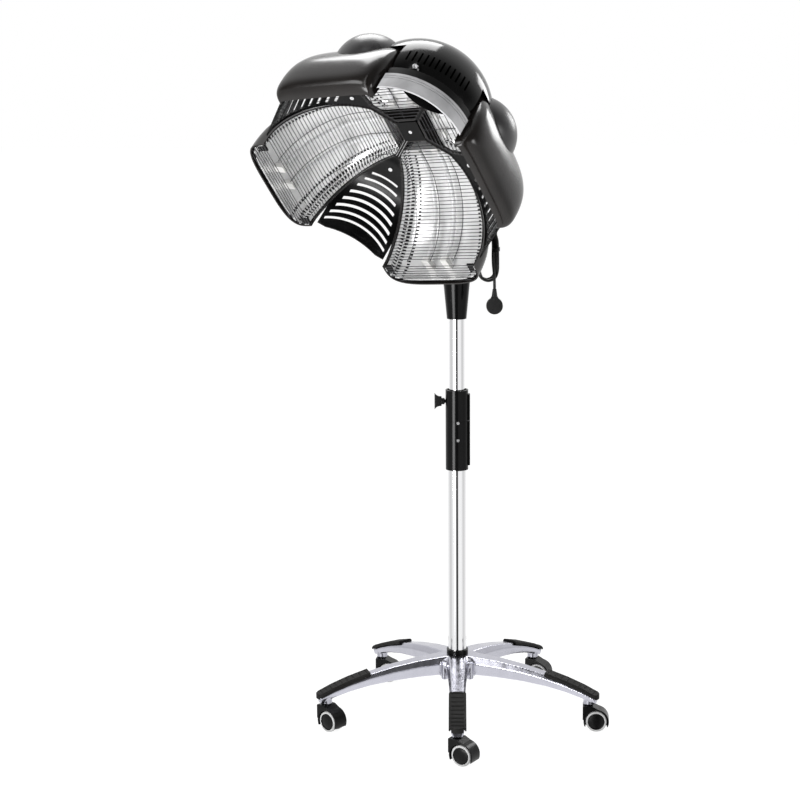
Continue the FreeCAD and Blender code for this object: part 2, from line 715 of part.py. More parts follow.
def dome_volume(inset):
    centre = V(0, DOME_CENTRE_U, DOME_CENTRE_O)
    ball = Part.makeSphere(DOME_R - inset, centre)
    block = ball.common(box(-200, 200, DOME_NEAR_U + inset, 400, DOME_BACK + inset, DOME_FRONT - inset))
    for angle in (45.0, 135.0):
        block = block.cut(turned(lamp_envelope(SHELL_GAP + inset), angle))
    block = block.cut(web_inside(WEB_DEPTH + SHELL_GAP + inset))
    pieces = sorted(block.Solids, key=lambda piece: -piece.Volume)
    return pieces[0]


def make_dome():
    shell = dome_volume(0.0).cut(dome_volume(DOME_T))
    cuts = []
    for index in range(VENT_COUNT):
        s = (index - 0.5 * (VENT_COUNT - 1)) * VENT_STEP - 8.0
        cuts.append(box(s - 1.8, s + 1.8, DOME_CENTRE_U + DOME_R - 37.0, DOME_CENTRE_U + DOME_R + 10.0,
                        DOME_CENTRE_O - 20.0, DOME_CENTRE_O + 10.0))
    shell = shell.cut(Part.makeCompound(cuts))
    pieces = sorted(shell.Solids, key=lambda piece: -piece.Volume)
    return pieces[0]


def make_ears():
    """Rounded lids behind the upper lamps, seated round the backs of the covers."""
    cover_back = trough(LAMP_START, -SHELL_GAP, COVER_NEAR, (UPPER_DEPTH + SHELL_GAP, UPPER_POWER))
    ears = []
    for side, angle in ((-1, 135.0), (1, 45.0)):
        centre = V(side * EAR_S, EAR_U, EAR_O)
        ear = Part.makeSphere(EAR_R, centre).cut(Part.makeSphere(EAR_R - EAR_T, centre))
        ear = ear.cut(turned(lamp_envelope(-REFLECTOR_BEHIND), angle))
        ear = ear.cut(turned(cover_back, angle))
        ear = ear.cut(Part.makeSphere(DOME_R + SHELL_GAP, V(0, DOME_CENTRE_U, DOME_CENTRE_O)))
        ear = ear.common(box(-300, 300, EAR_NEAR_U, 400, -200, 200))
        pieces = sorted(ear.Solids, key=lambda piece: -piece.Volume)
        ears.append(pieces[0])
    return ears


def make_band():
    centre = V(0, BAND_CENTRE_U, BAND_BACK)
    band = ring(BAND_R + 2.0, BAND_R - 2.0, BAND_FRONT - BAND_BACK, centre)
    for low in (6.0, 12.0):
        band = band.cut(ring(BAND_R + 3.0, BAND_R + 0.8, 2.4, centre + V(0, 0, low)))
    return band.common(box(-BAND_HALF_S, BAND_HALF_S, BAND_CENTRE_U + 20.0, 400, 0, 300))


def make_fascia():
    centre = V(0, BAND_CENTRE_U, BAND_BACK - 22.0)
    skin = ring(BAND_R - 2.2, BAND_R - 5.0, BAND_FRONT - BAND_BACK + 19.0, centre)
    plate = ring(BAND_R - 2.2, BAND_R - 45.0, 2.8, centre)
    skin = skin.fuse(plate).common(box(-BAND_HALF_S + 2.0, BAND_HALF_S - 2.0, BAND_CENTRE_U + 20.0, 400, 0, 300))
    for angle in (45.0, 135.0):
        skin = skin.cut(turned(lamp_envelope(SEAT_GAP), angle))
    skin = skin.cut(web_inside(WEB_DEPTH + SEAT_GAP))
    ball = Part.makeSphere(DOME_R + SEAT_GAP, V(0, DOME_CENTRE_U, DOME_CENTRE_O))
    return sorted(skin.cut(ball).Solids, key=lambda piece: -piece.Volume)[0]


# ---- crown, hub, fan and controls ------------------------------------------------------
def square(half_diag, low, high):
    points = [V(half_diag, 0, low), V(0, half_diag, low), V(-half_diag, 0, low), V(0, -half_diag, low)]
    return prism(points, V(0, 0, high - low))


def make_hub():
    core = square(CROWN_HALF_DIAG - 1.5, -HUB_BACK, -3.2)
    disc = cyl(HUB_DISC_R, HUB_BACK - LAMP_DEPTH - 0.4, V(0, 0, -HUB_BACK))
    spigot = cyl(SPIGOT_R, 52.0, V(0, 0, -HUB_BACK - 51.5))
    return fuse([core, disc, spigot])


def make_hub_nut():
    nut = cyl(NUT_R, 8.0, V(0, 0, -HUB_BACK - 54.3))
    return nut.cut(cyl(SPIGOT_R, 9.0, V(0, 0, -HUB_BACK - 54.3)))


def make_hood_screws():
    screws = [screw_head(4.0, 2.2, V(0, 0, 0.0), Z_AXIS)]
    for angle in (0.0, 90.0, 180.0, 270.0):
        spot = arc_at(WEB_FLAT, WEB_BEND_R, WEB_DEPTH - WEB_T - 0.15, 10.0)
        head = screw_head(4.5, 2.4, V(0, 0, 0), Z_AXIS)
        head = turned(head, -10.0, V(0, 0, 0), Y_AXIS)
        head.translate(spot)
        screws.append(turned(head, angle))
    return screws


def make_motor():
    motor = cyl(20.0, 24.0, V(0, FAN_U, DOME_BACK + DOME_T))
    return motor.cut(cyl(3.0 + RUN_GAP, 20.0, V(0, FAN_U, DOME_BACK + DOME_T + 10.0)))


def make_rotor():
    top = DOME_BACK + DOME_T + 26.0
    hub = cyl(10.0, 16.0, V(0, FAN_U, top))
    shaft = cyl(3.0, 18.0, V(0, FAN_U, top - 12.0))
    blade = box(8.0, FAN_R, -1.0, 1.0, 1.0, 15.0)
    blade = turned(blade, 28.0, V(20.0, 0, 8.0), X_AXIS)
    blades = []
    for index in range(7):
        one = turned(blade, index * 360.0 / 7.0)
        one.translate(V(0, FAN_U, top))
        blades.append(one)
    return fuse([hub, shaft] + blades)


def make_control_box():
    shell = box(-48.0, 48.0, BOX_U - 44.0, BOX_U + 44.0, DOME_BACK - 18.0, DOME_BACK - 0.2)
    upright = [e for e in shell.Edges if abs(e.Length - 17.8) < 0.1]
    shell = shell.makeFillet(10.0, upright)
    shell = shell.cut(cyl(TIMER_SHAFT_R + RUN_GAP, 12.0, V(TIMER_S, BOX_U, DOME_BACK - 18.0)))
    shell = shell.cut(box(18.0, 34.0, BOX_U - 14.0, BOX_U + 14.0, DOME_BACK - 18.0, DOME_BACK - 8.0))
    return shell.cut(cyl(ROCKER_PIN_R + RUN_GAP, 20.0, V(16.0, BOX_U, DOME_BACK - 16.0), X_AXIS))


def make_timer_knob():
    skirt = cyl(16.0, 4.0, V(TIMER_S, BOX_U, DOME_BACK - 22.3))
    grip = cyl(13.0, 12.0, V(TIMER_S, BOX_U, DOME_BACK - 34.3))
    shaft = cyl(TIMER_SHAFT_R, 12.0, V(TIMER_S, BOX_U, DOME_BACK - 20.0))
    notches = []
    for index in range(12):
        a = math.radians(index * 30.0)
        where = V(TIMER_S + 14.2 * math.cos(a), BOX_U + 14.2 * math.sin(a), DOME_BACK - 34.3)
        notches.append(cyl(2.2, 11.0, where))
    return fuse([skirt, grip.cut(Part.makeCompound(notches)), shaft])


def make_switch():
    side = [V(18.3, BOX_U - 12.6, DOME_BACK - 15.0), V(18.3, BOX_U - 12.6, DOME_BACK - 19.0),
            V(18.3, BOX_U, DOME_BACK - 20.0), V(18.3, BOX_U + 12.6, DOME_BACK - 23.4),
            V(18.3, BOX_U + 12.6, DOME_BACK - 19.4), V(18.3, BOX_U, DOME_BACK - 12.0)]
    pin = cyl(ROCKER_PIN_R, 19.0, V(16.5, BOX_U, DOME_BACK - 16.0), X_AXIS)
    return prism(side, V(15.4, 0, 0)).fuse(pin)


def dome_point(s, o, lift):
    reach = math.sqrt(DOME_R ** 2 - (o - DOME_CENTRE_O) ** 2 - s ** 2)
    out = V(s, reach, o - DOME_CENTRE_O).normalize()
    return V(0, DOME_CENTRE_U, DOME_CENTRE_O) + out * (DOME_R + lift), out


def make_sensor():
    base, out = dome_point(-48.0, 92.0, 0.2)
    ring_part = Part.makeCone(8.0, 6.0, 7.0, base, out)
    return ring_part.cut(cyl(2.6, 4.0, base + out * 4.0, out))


# ---- mains cord -------------------------------------------------------------------------
def racetrack(along):
    """Place on the hank's loop at a distance from its top."""
    straight = 2.0 * (HANK_H - HANK_W)
    bend = math.pi * HANK_W
    along = along % (2.0 * (straight + bend))
    if along < bend / 2.0:
        a = along / HANK_W
        return HANK_W * math.sin(a), straight / 2.0 + HANK_W * math.cos(a)
    if along < bend / 2.0 + straight:
        return HANK_W, straight / 2.0 - (along - bend / 2.0)
    if along < 1.5 * bend + straight:
        a = (along - bend / 2.0 - straight) / HANK_W
        return HANK_W * math.cos(a), -straight / 2.0 - HANK_W * math.sin(a)
    if along < 1.5 * bend + 2.0 * straight:
        return -HANK_W, -straight / 2.0 + (along - 1.5 * bend - straight)
    a = (along - 1.5 * bend - 2.0 * straight) / HANK_W
    return -HANK_W * math.cos(a), straight / 2.0 + HANK_W * math.sin(a)


def hank_points():
    loop = 4.0 * (HANK_H - HANK_W) + 2.0 * math.pi * HANK_W
    points = []
    for index in range(HANK_TURNS * HANK_POINTS + 1):
        side, up = racetrack(index * loop / HANK_POINTS)
        drift = 3.0 * math.sin(index * 0.31)
        points.append(V(HANK_X + side + drift, HANK_Y + index * HANK_STEP, HANK_Z + up - 0.6 * drift))
    return points


def swept(points, radius):
    curve = Part.BSplineCurve()
    curve.buildFromPoles(points, False, 2)
    path = Part.Wire([curve.toShape()])
    start = curve.value(curve.FirstParameter)
    tangent = curve.tangent(curve.FirstParameter)[0]
    circle = Part.Wire([Part.makeCircle(radius, start, tangent)])
    pipe = path.makePipeShell([circle], True, False)
    return pipe


def make_plug():
    x, y, z = PLUG_X, HANK_Y - 10.0, PLUG_Z
    sleeve = Part.makeCone(4.2, 7.5, 24.0, V(x, y, z + PLUG_SLEEVE), V(0, 0, -1))
    head = cyl(18.5, 18.0, V(x, y - 7.0, z), Y_AXIS)
    head = head.makeFillet(3.0, head.Edges[:1])
    neck = box(x - 8.0, x + 8.0, y - 7.0, y + 8.0, z + 6.0, z + 20.0)
    pins = [cyl(2.4, 19.0, V(x + side, y + 11.0, z), Y_AXIS) for side in (-9.5, 9.5)]
    return fuse([sleeve, head, neck] + pins)


def cord_route():
    y = HANK_Y
    lead = [V(-12.0, -99.0, 1410.0), V(28.0, -84.0, 1386.0), V(72.0, -80.0, 1318.0),
            V(98.0, -84.0, 1226.0), V(102.0, y - 4.0, 1172.0)]
    tail = [V(HANK_X + 14.0, y + 12.0, 1126.0), V(HANK_X + 12.0, y + 2.0, 1076.0),
            V(PLUG_X, y - 10.0, 1040.0), V(PLUG_X, y - 10.0, PLUG_Z + PLUG_SLEEVE)]
    return lead, tail


def gland_spot():
    return V(46.0, 0, -HUB_BACK)


def make_gland():
    body = Part.makeCone(8.0, 4.6, GLAND_L, gland_spot() + V(0, 0, -0.2), V(0, 0, -1))
    return body.cut(cyl(CORD_R, GLAND_L + 2.0, gland_spot() + V(0, 0, 1), V(0, 0, -1)))


os.makedirs("parts", exist_ok=True)

# stand
export(make_star(), "star_base")
pad = make_pad()
export([turned(pad, angle) for angle in LEG_ANGLES], "leg_pads")
export(ring(RING_R, LOWER_R, RING_T, V(0, 0, HUB_TOP_Z + 0.2)), "pole_ring")
export(ring(LOWER_R, LOWER_R - LOWER_T, LOWER_TOP_Z - LOWER_BOTTOM_Z, V(0, 0, LOWER_BOTTOM_Z)), "pole_lower")

export(make_sleeve(), "clamp_sleeve")
export(make_clamp_screws(), "clamp_screws")
export(make_knob(), "clamp_knob")
body = make_caster_body()
wheels = make_wheelset()
for index in range(5):
    export(moved(body, caster_place(index)), "caster_body_%d" % (index + 1))
    export(moved(wheels, caster_place(index)), "caster_wheels_%d" % (index + 1))
export(ring(UPPER_R, UPPER_R - UPPER_T, UPPER_TOP_Z - UPPER_BOTTOM_Z, V(0, 0, UPPER_BOTTOM_Z)), "pole_upper")
bush_h = SLEEVE_TOP_Z - BUSH_RECESS - LOWER_TOP_Z - SEAT_GAP
export(ring(BUSH_R, UPPER_R + RUN_GAP, bush_h, V(0, 0, LOWER_TOP_Z + SEAT_GAP)), "pole_bush")
export(neck_frame(make_collar()), "neck_collar")
export(make_neck_tube(), "neck_tube")
export(neck_frame(make_fork()), "tilt_fork")
export(neck_frame(make_arm()), "arm")
export(neck_frame(make_tilt_pin()), "tilt_pin")
for name, angle, upper in (("upper_left", 135.0, True), ("upper_right", 45.0, True),
                           ("lower_left", 225.0, False), ("lower_right", 315.0, False)):
    export(hood(lamp_at(make_cover(upper), angle)), "cover_" + name)
    wires = make_guard()
    if not upper:
        wires += make_end_wires()
    export(hood(lamp_at(wires, angle)), "guard_" + name)
lamps = ((135.0, True), (45.0, True), (225.0, False), (315.0, False))
export(hood([lamp_at(make_reflector(upper), a) for a, upper in lamps]), "reflectors")
export(hood([t for a, upper in lamps for t in lamp_at(make_tubes(), a)]), "heating_tubes")
export(hood([t for a, upper in lamps for t in lamp_at(make_holders(upper), a)]), "tube_holders")
export(hood([t for a, upper in lamps for t in lamp_at(make_brackets(upper), a)]), "lamp_brackets")
export(hood(turned(make_web(SLOT_BOW), 270.0)), "nape_panel")
export(hood(turned(make_web(0.0), 180.0)), "side_panel_left")
export(hood(turned(make_web(0.0), 0.0)), "side_panel_right")
export(hood(turned(make_web(0.0), 90.0)), "fan_grille")
export(hood(make_dome()), "dome")
export(hood(make_ears()), "ears")
export(hood(make_band()), "visor_band")
export(hood(make_fascia()), "fascia")
export(hood(make_hub()), "hood_hub")
export(hood(make_hub_nut()), "hub_nut")
export(hood(square(CROWN_HALF_DIAG, -3.0, 0.0)), "crown_plate")
export(hood(make_hood_screws()), "hood_screws")
export(hood(make_motor()), "fan_motor")
export(hood(make_rotor()), "fan_rotor")
export(hood(make_control_box()), "control_box")
export(hood(make_timer_knob()), "timer_knob")
export(hood(make_switch()), "power_switch")
export(hood(make_sensor()), "temperature_sensor")
lead, tail = cord_route()
gland_world = hood_place().multVec(gland_spot() + V(0, 0, -1))
gland_out = hood_place().multVec(gland_spot() + V(0, 0, -GLAND_L - 4.0))
export(swept([gland_world, gland_out] + lead + hank_points()[1:] + tail, CORD_R), "cord")
export(make_plug(), "plug")
export(hood(make_gland()), "cord_gland")
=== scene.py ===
"""Looks of the hair color processor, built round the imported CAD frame.

Metres, +Z up. The hood's own frame has +X and +Y across the opening and +Z out of it,
with the crown plate at its origin. Sizes below are millimetres and angles are degrees,
unless a name or a heading says otherwise.
"""

import json
import math

import bmesh
import bpy
from mathutils import Matrix, Vector

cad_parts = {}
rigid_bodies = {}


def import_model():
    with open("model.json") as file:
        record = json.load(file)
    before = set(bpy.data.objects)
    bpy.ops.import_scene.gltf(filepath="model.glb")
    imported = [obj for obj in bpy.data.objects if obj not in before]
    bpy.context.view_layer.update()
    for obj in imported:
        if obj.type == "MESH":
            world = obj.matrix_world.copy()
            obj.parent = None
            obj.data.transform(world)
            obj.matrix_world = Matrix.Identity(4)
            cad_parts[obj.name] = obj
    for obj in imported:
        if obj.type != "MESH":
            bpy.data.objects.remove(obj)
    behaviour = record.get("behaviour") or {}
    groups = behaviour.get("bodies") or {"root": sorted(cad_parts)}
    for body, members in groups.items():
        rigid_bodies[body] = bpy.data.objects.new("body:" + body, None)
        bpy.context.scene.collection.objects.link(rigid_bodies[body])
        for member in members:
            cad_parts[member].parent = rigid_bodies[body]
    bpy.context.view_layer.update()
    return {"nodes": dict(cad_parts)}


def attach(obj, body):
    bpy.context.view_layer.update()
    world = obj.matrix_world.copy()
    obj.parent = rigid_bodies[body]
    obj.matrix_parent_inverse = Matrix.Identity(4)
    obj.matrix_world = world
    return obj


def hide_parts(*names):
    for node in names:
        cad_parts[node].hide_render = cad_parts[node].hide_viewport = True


for leftover in list(bpy.data.objects):
    bpy.data.objects.remove(leftover)
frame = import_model()
nodes = frame["nodes"]

MM = 0.001

# ---- hood pose, the same as the CAD ---------------------------------------------------------
SWIVEL = 29.0
TILT = 39.0
ROLL = 40.0
CROWN_OUT = 201.0
CROWN_Z = 1364.0
HUB_BACK = 74.0
LAMPS = {"upper_left": 135.0, "upper_right": 45.0, "lower_left": 225.0, "lower_right": 315.0}

# ---- lamp form, the same driving sizes as the CAD -------------------------------------------
LAMP_FLAT = 95.0
LAMP_BEND_R = 149.0
LAMP_DEPTH = 60.0
UPPER_DEPTH = 44.0
LOWER_LIP = 8.0
LAMP_START = 27.6
LAMP_START_HW = 23.3
LAMP_KNEE = 72.8
LAMP_KNEE_HW = 68.6
LAMP_WIDE = 238.3
LAMP_WIDE_HW = 119.5
MOUTH_ANGLE = 90.0
COVER_T = 3.0
COVER_NEAR = 2.0
COVER_CORNER_R = 9.0
SECTION_POWER = 0.55
UPPER_POWER = 0.4
BROW_RISE = 42.5
BROW_POWER = 3.0
BROW_TIP = 0.995
BROW_NARROW = 9.0
BROW_NARROW_POWER = 6
REFLECTOR_T = 0.8
REFLECTOR_START = 58.0
REFLECTOR_BEHIND = 14.0
REFLECTOR_INSET = 4.6
REFLECTOR_NEAR = 8.0
REFLECTOR_END = 89.0
REFLECTOR_SHORT = 0.5

# ---- how finely the lamps are divided -------------------------------------------------------
SECTION_STEPS = 48
BEND_STEPS = 44
BROW_STEPS = 18
WALL_SHARES = (0.0, 0.25, 0.5, 0.75, 1.0)
CORNER_TURNS = (25.0, 50.0, 72.0, 90.0)
FLAT_STEP = 6.0
FLAT_END_GAP = 3.0
LAMP_SPLIT_ANGLE = 50.0

# ---- painted shade of the pressed slits of the reflectors: pitch in metres, the rest as shares ---
LOUVRE_PITCH_M = 0.0085
LOUVRE_SHARE = 0.52
LOUVRE_BANDS = ((0.03, 0.105), (0.135, 0.2), (0.275, 0.31))
# near-black painted shade that stands for the dark inside of each slit
LOUVRE_SHADE_COLOUR = (0.01, 0.01, 0.01, 1.0)

# ---- quartz tubes and their heater spirals ---------------------------------------------------
TUBE_START = 73.0
TUBE_END = 80.0
TUBE_DEPTH = 22.0
TUBE_SPREAD = 24.0
TUBE_R = 4.9
TUBE_STEP = 4.0
TUBE_SIDES = 20
COIL_R = 3.1
COIL_WIRE_R = 0.55
COIL_PITCH = 3.4
COIL_TURN_POINTS = 8.0
COIL_START_GAP = 3.0
COIL_END_ANGLE = 1.0

# ---- casters ---------------------------------------------------------------------------------
LEG_ANGLES = (270.0, 342.0, 54.0, 126.0, 198.0)
STEM_R_POS = 316.0
WHEEL_R = 24.0
WHEEL_W = 11.0
WHEEL_GAP = 13.0
WHEEL_SIDES = 72
TYRE_ROWS = range(6, 14)
TRAIL = 17.0
CASTER_HEADINGS = (-30.0, -4.0, -20.0, -8.0, -41.0)

# ---- softened castings and mouldings: node, piece, body, voxel size, smoothing rounds ---------
WELD_M = 1e-5
SMOOTH_FACTOR = 0.5
SOFTENED = (("star_base", "star_casting", "base", 1.5, 8), ("leg_pads", "leg_pad_mouldings", "base", 0.8, 3),
            ("clamp_knob", "clamp_knob_moulding", "knob", 0.6, 6), ("plug", "plug_moulding", "hood", 0.6, 3))
CASTER_VOXEL = 0.7
CASTER_ROUNDS = 4

# ---- cord ------------------------------------------------------------------------------------
CORD_R = 3.2
GLAND_X = 46.0
GLAND_L = 24.0
EXIT_INSIDE = 1.0
EXIT_OUTSIDE = 4.0
HANK_X = 68.0
HANK_Y = -66.0
HANK_Z = 1088.0
HANK_H = 58.0
HANK_W = 20.5
HANK_TURNS = 3
HANK_POINTS = 16
HANK_STEP = 0.46
HANK_DRIFT = 3.0
HANK_DRIFT_TURN = 0.31
HANK_DRIFT_DOWN = 0.6
PLUG_X = 84.0
PLUG_TOP_Z = 1014.0
TIE_W = 4.0
TIE_T = 1.4
TIE_ROOM = 3.2
TIE_SLACK = 1.0
TIE_UP = 12.0
TIE_SIDES = 48
TIE_SPLIT_ANGLE = 40.0

# ---- grain of the finishes: scales per metre, depths in metres --------------------------------
DRIFT_SCALE = 14.0
DRIFT_DARK = 0.8
DRIFT_LIGHT = 1.25
GRAIN_DETAIL = 3.0
GRAIN_DEPTH_M = 0.0004
MARK_SCALE = 60.0
MARK_DETAIL = 6.0
MARK_DARK = 0.92
MARK_DEPTH_M = 0.0003
CLOUD_SCALE = 120.0
CLOUD_DEPTH_M = 0.0002
EVEN = (1.0, 1.0, 1.0)

# ---- studio: shares of the full brightness against the direction's own x, y and z -------------
SLOT_EDGE = (0.14, 0.3)
SLOT_DARK = 0.04
STRIP_PLACE = -0.62
STRIP_HALF = 0.07
STRIP_STRENGTH = 5.0
STRIP_FOOT = (-0.3, -0.22)
SIDE_EDGE = (0.8, 1.0)
SIDE_LEVEL = 0.7
BELOW_EDGE = (-0.9, -0.35)
BELOW_LEVEL = 1.35
FRONT_RISE = (0.02, 0.3)
FRONT_EDGE = (-0.1, 0.5)
FRONT_DARK = 0.12
FILL = 0.45
FLOOR_HALF_M = 30.0
FLOOR_SHARE = 0.82
FLOOR_GLOW = 1.14

# ---- lamps and camera, in metres, watts and degrees -------------------------------------------
LAMP_AIM = Vector((-0.05, -0.15, 1.2))
SOFTBOXES = (("key", (-2.4, -1.8, 2.6), 1.2, 30.0), ("fill", (2.6, -1.8, 1.9), 0.9, 22.0),
             ("top", (-0.2, 1.6, 3.6), 1.6, 60.0), ("rim", (2.2, 2.0, 2.2), 1.0, 26.0),
             ("low", (-1.3, -2.0, 0.5), 1.0, 42.0))
CAMERA_SPOT = (0.0, -4.3214, 1.5130)
CAMERA_PITCH = 80.0
CAMERA_YAW = 1.72
CAMERA_ROLL = -0.42
SENSOR_WIDTH = 36.0
FOCAL_PX = 1923.0
IMAGE_PX = 800.0


def hood_matrix():
    swivel, tilt, roll = (math.radians(angle) for angle in (SWIVEL, TILT, ROLL))
    up = Vector((0, 0, 1))
    forward = Vector((-math.sin(swivel), -math.cos(swivel), 0))
    side = Vector((math.cos(swivel), -math.sin(swivel), 0))
    out = forward * math.cos(tilt) - up * math.sin(tilt)
    lift = up * math.cos(tilt) + forward * math.sin(tilt)
    across_y = lift * math.cos(roll) + side * math.sin(roll)
    across_x = side * math.cos(roll) - lift * math.sin(roll)
    matrix = Matrix((across_x, across_y, out)).transposed().to_4x4()
    matrix.translation = (forward * CROWN_OUT + up * CROWN_Z) * MM
    return matrix


HOOD = hood_matrix()
SCALE = Matrix.Scale(MM, 4)


def lamp_matrix(angle):
    return HOOD @ Matrix.Rotation(math.radians(angle), 4, "Z") @ SCALE


# ---- material helpers ------------------------------------------------------------------------
def principled(material):
    return material.node_tree.nodes["Principled BSDF"]


def new_material(name, colour, roughness, metallic=0.0):
    material = bpy.data.materials.new(name)
    material.use_nodes = True
    shader = principled(material)
    shader.inputs["Base Color"].default_value = (*colour, 1.0)
    shader.inputs["Roughness"].default_value = roughness
    shader.inputs["Metallic"].default_value = metallic
    shader.inputs["IOR"].default_value = 1.5
    return material


def add_node(material, kind, **values):
    node = material.node_tree.nodes.new(kind)
    for key, value in values.items():
        setattr(node, key, value)
    return node


def join(material, source, target):
    material.node_tree.links.new(source, target)


def feed(tree, value, target):
    """Link a socket to an input, or write a plain value on it."""
    if isinstance(value, bpy.types.NodeSocket):
        tree.links.new(value, target)
    else:
        target.default_value = value


def math_node(tree, operation, first, second):
    node = tree.nodes.new("ShaderNodeMath")
    node.operation = operation
    feed(tree, first, node.inputs[0])
    feed(tree, second, node.inputs[1])
    return node.outputs["Value"]


def texture_space(material, stretch):
    coordinates = add_node(material, "ShaderNodeTexCoord")
    mapping = add_node(material, "ShaderNodeMapping")
    mapping.inputs["Scale"].default_value = stretch
    join(material, coordinates.outputs["Object"], mapping.inputs["Vector"])
    return mapping.outputs["Vector"]


def noise(material, space, scale, detail=4.0):
    texture = add_node(material, "ShaderNodeTexNoise")
    texture.inputs["Scale"].default_value = scale
    texture.inputs["Detail"].default_value = detail
    join(material, space, texture.inputs["Vector"])
    return texture.outputs["Fac"]


def vary_colour(material, factor, dark, light):
    ramp = add_node(material, "ShaderNodeValToRGB")
    for stop, position, colour in zip(ramp.color_ramp.elements, (0.35, 0.65), (dark, light)):
        stop.position = position
        stop.color = (*colour, 1.0)
    join(material, factor, ramp.inputs["Fac"])
    join(material, ramp.outputs["Color"], principled(material).inputs["Base Color"])


def vary_roughness(material, factor, low, high):
    spread = add_node(material, "ShaderNodeMapRange")
    limits = {"From Min": 0.3, "From Max": 0.7, "To Min": low, "To Max": high}
    for socket, value in limits.items():
        spread.inputs[socket].default_value = value
    join(material, factor, spread.inputs["Value"])
    join(material, spread.outputs["Result"], principled(material).inputs["Roughness"])


def add_bump(material, factor, strength, distance):
    bump = add_node(material, "ShaderNodeBump")
    bump.inputs["Strength"].default_value = strength
    bump.inputs["Distance"].default_value = distance
    join(material, factor, bump.inputs["Height"])
    join(material, bump.outputs["Normal"], principled(material).inputs["Normal"])


def plastic(name, colour, roughness, spread, grain, strength, shine=0.5):
    """Moulded plastic: faint colour drift, uneven gloss and a fine moulded grain."""
    material = new_material(name, colour, roughness)
    principled(material).inputs["Specular IOR Level"].default_value = shine
    space = texture_space(material, EVEN)
    drift = noise(material, space, DRIFT_SCALE)
    vary_colour(material, drift, [c * DRIFT_DARK for c in colour], [c * DRIFT_LIGHT for c in colour])
    vary_roughness(material, drift, roughness - spread, roughness + spread)
    add_bump(material, noise(material, space, grain, GRAIN_DETAIL), strength, GRAIN_DEPTH_M)
    return material


def metal(name, colour, roughness, spread, stretch, strength):
    """Metal with fine marks drawn out along the axis that stretch makes smallest."""
    material = new_material(name, colour, roughness, metallic=1.0)
    marks = noise(material, texture_space(material, stretch), MARK_SCALE, MARK_DETAIL)
    vary_colour(material, marks, [c * MARK_DARK for c in colour], colour)
    vary_roughness(material, marks, roughness - spread, roughness + spread)
    add_bump(material, marks, strength, MARK_DEPTH_M)
    return material


def quartz():
    """Faintly clouded glass."""
    material = new_material("quartz_glass", (0.95, 0.95, 0.96), 0.12)
    principled(material).inputs["Transmission Weight"].default_value = 0.15
    cloud = noise(material, texture_space(material, EVEN), CLOUD_SCALE)
    vary_roughness(material, cloud, 0.08, 0.22)
    add_bump(material, cloud, 0.05, CLOUD_DEPTH_M)
    return material


def paint_louvre_shade(material):
    """Rows of slits along both long sides of a reflector, coloured near-black as painted shade inside them.

    The UV layer "form" holds the length along the trough in metres and the share of its girth.
    """
    tree = material.node_tree
    layout = add_node(material, "ShaderNodeUVMap", uv_map="form")
    parts = add_node(material, "ShaderNodeSeparateXYZ")
    join(material, layout.outputs["UV"], parts.inputs["Vector"])
    along, girth = parts.outputs["X"], parts.outputs["Y"]
    beat = math_node(tree, "FRACT", math_node(tree, "DIVIDE", along, LOUVRE_PITCH_M), 0.0)
    shaded_slit = math_node(tree, "LESS_THAN", beat, LOUVRE_SHARE)
    edge = math_node(tree, "MINIMUM", girth, math_node(tree, "SUBTRACT", 1.0, girth))
    bands = None
    for low, high in LOUVRE_BANDS:
        above = math_node(tree, "GREATER_THAN", edge, low)
        band = math_node(tree, "MULTIPLY", above, math_node(tree, "LESS_THAN", edge, high))
        bands = band if bands is None else math_node(tree, "MAXIMUM", bands, band)
    # painted shade: the slits are coloured near-black on the sheet, not cut open
    shader = principled(material)
    mix = add_node(material, "ShaderNodeMix", data_type="RGBA")
    mix.inputs["B"].default_value = LOUVRE_SHADE_COLOUR
    join(material, math_node(tree, "MULTIPLY", shaded_slit, bands), mix.inputs["Factor"])
    join(material, shader.inputs["Base Color"].links[0].from_socket, mix.inputs["A"])
    join(material, mix.outputs["Result"], shader.inputs["Base Color"])


# ---- finishes: colour, roughness and its spread, then the grain or marks ------------------------
cover_black = plastic("cover_black", (0.0095, 0.008, 0.0073), 0.19, 0.03, 900.0, 0.012, 0.36)
dome_black = plastic("dome_black", (0.004, 0.004, 0.004), 0.13, 0.03, 800.0, 0.02, 0.2)
ear_grey = plastic("ear_grey", (0.035, 0.034, 0.035), 0.3, 0.05, 900.0, 0.03, 0.5)
panel_black = plastic("panel_black", (0.003, 0.003, 0.0031), 0.14, 0.03, 700.0, 0.012, 0.13)
nape_black = plastic("nape_black", (0.003, 0.003, 0.0031), 0.2, 0.03, 700.0, 0.012, 0.2)
satin_black = plastic("satin_black", (0.005, 0.005, 0.005), 0.4, 0.06, 1200.0, 0.12, 0.13)
caster_black = plastic("caster_black", (0.004, 0.004, 0.004), 0.24, 0.05, 900.0, 0.06, 0.15)
# visor band: glossy black plastic given a mid-grey colour, a painted reflection of the white surroundings on
# its face
band_grey = plastic("band_grey", (0.46, 0.46, 0.47), 0.16, 0.03, 800.0, 0.02)
rubber_black = plastic("rubber_black", (0.008, 0.0077, 0.0075), 0.6, 0.08, 2200.0, 0.35, 0.13)
cord_black = plastic("cord_black", (0.007, 0.007, 0.007), 0.45, 0.06, 1600.0, 0.15, 0.25)
tread_grey = plastic("tread_grey", (0.4, 0.4, 0.4), 0.4, 0.06, 1500.0, 0.15)
ceramic = plastic("ceramic", (0.62, 0.615, 0.6), 0.6, 0.08, 1800.0, 0.2)
painted_casting = plastic("painted_casting", (0.009, 0.009, 0.0095), 0.34, 0.06, 800.0, 0.1, 0.3)
cast_aluminium = metal("cast_aluminium", (0.5, 0.5, 0.56), 0.22, 0.06, (1.0, 1.0, 0.35), 0.05)
chrome = metal("chrome_tube", (0.9, 0.9, 0.91), 0.07, 0.02, (1.0, 1.0, 0.02), 0.01)
